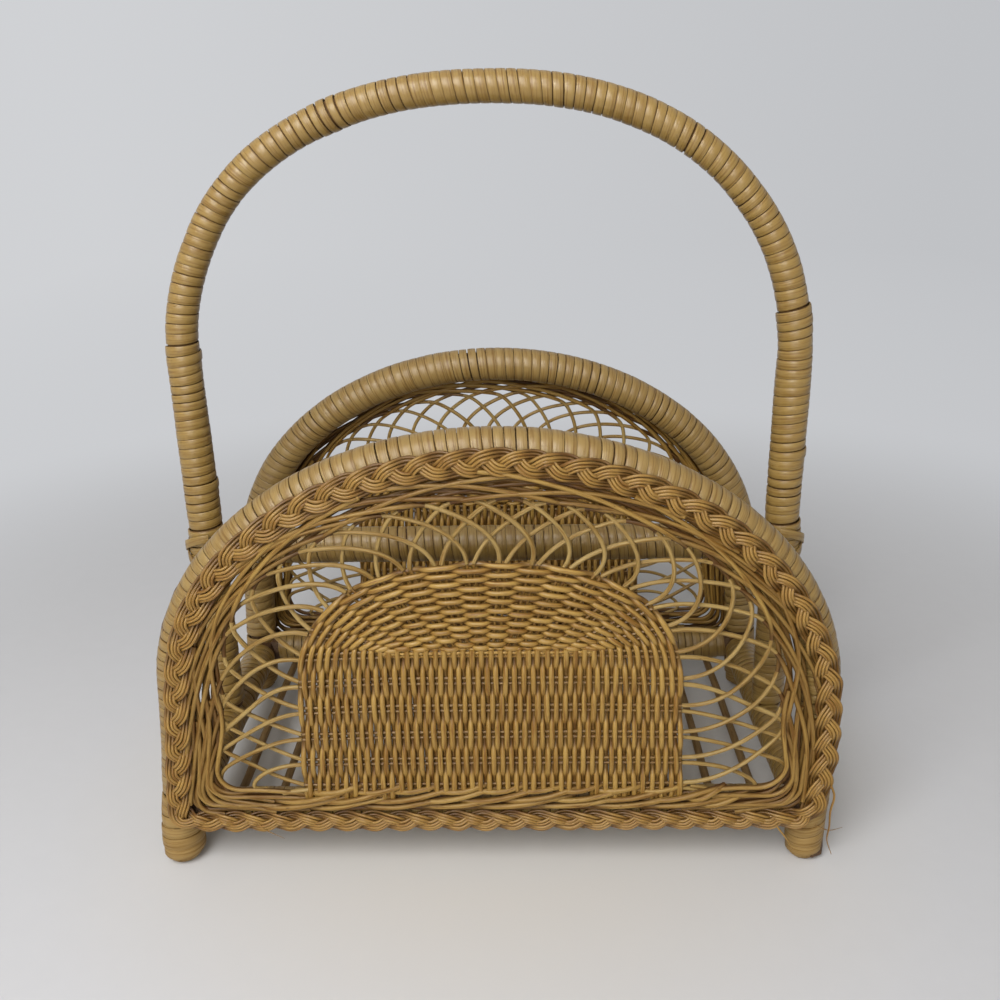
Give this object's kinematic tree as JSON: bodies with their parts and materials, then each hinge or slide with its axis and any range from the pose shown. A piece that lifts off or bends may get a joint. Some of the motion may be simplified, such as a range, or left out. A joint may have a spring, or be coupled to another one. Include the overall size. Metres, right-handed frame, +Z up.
{
  "type": "magazine basket",
  "caption": "Cane-wrapped magazine basket with arched woven reed panels front and back, a slatted bottom, a divider bar and a tall fixed arched handle.",
  "frame": {"origin": "on the floor under the middle of the basket", "axes": "+Z up, +X to the right seen from the front, -Y towards the front panel"},
  "size_m": [0.4112, 0.2344, 0.4542],
  "materials": {
    "pole": "bare rattan pole, lightly varnished",
    "cane": "split cane skin, satin varnish",
    "reed": "round core reed, matt varnish",
    "plait": "plaited core reed, matt varnish",
    "steel": "plain drawn nail steel"
  },
  "bodies": {
    "root": {"front_hoop": "pole", "front_hoop_binding": "cane", "front_rail": "pole", "front_rail_binding": "cane", "front_left_foot": "cane", "front_right_foot": "cane", "front_rail_left_brad": "steel", "front_rail_right_brad": "steel", "front_lattice": "reed", "front_medallion": "reed", "front_border": "reed", "front_plait": "plait", "back_hoop": "pole", "back_hoop_binding": "cane", "back_rail": "pole", "back_rail_binding": "cane", "back_left_foot": "cane", "back_right_foot": "cane", "back_rail_left_brad": "steel", "back_rail_right_brad": "steel", "back_lattice": "reed", "back_medallion": "reed", "back_border": "reed", "back_plait": "plait", "left_rail": "pole", "left_rail_binding": "cane", "left_rail_front_brad": "steel", "left_rail_back_brad": "steel", "left_divider_lashing": "cane", "left_handle_brad": "steel", "left_divider_brad": "steel", "right_rail": "pole", "right_rail_binding": "cane", "right_rail_front_brad": "steel", "right_rail_back_brad": "steel", "right_divider_lashing": "cane", "right_handle_brad": "steel", "right_divider_brad": "steel", "handle": "pole", "handle_left_lower_binding": "cane", "handle_left_upper_binding": "cane", "handle_arch_binding": "cane", "handle_right_upper_binding": "cane", "handle_right_lower_binding": "cane", "divider_bar": "pole", "divider_binding": "cane", "slat_1": "reed", "slat_2": "reed", "slat_3": "reed", "slat_4": "reed", "slat_5": "reed", "slat_6": "reed", "slat_7": "reed", "slat_8": "reed", "slat_9": "reed", "slat_10": "reed", "slat_11": "reed", "slat_12": "reed", "slat_13": "reed"}
  },
  "joints": []
}
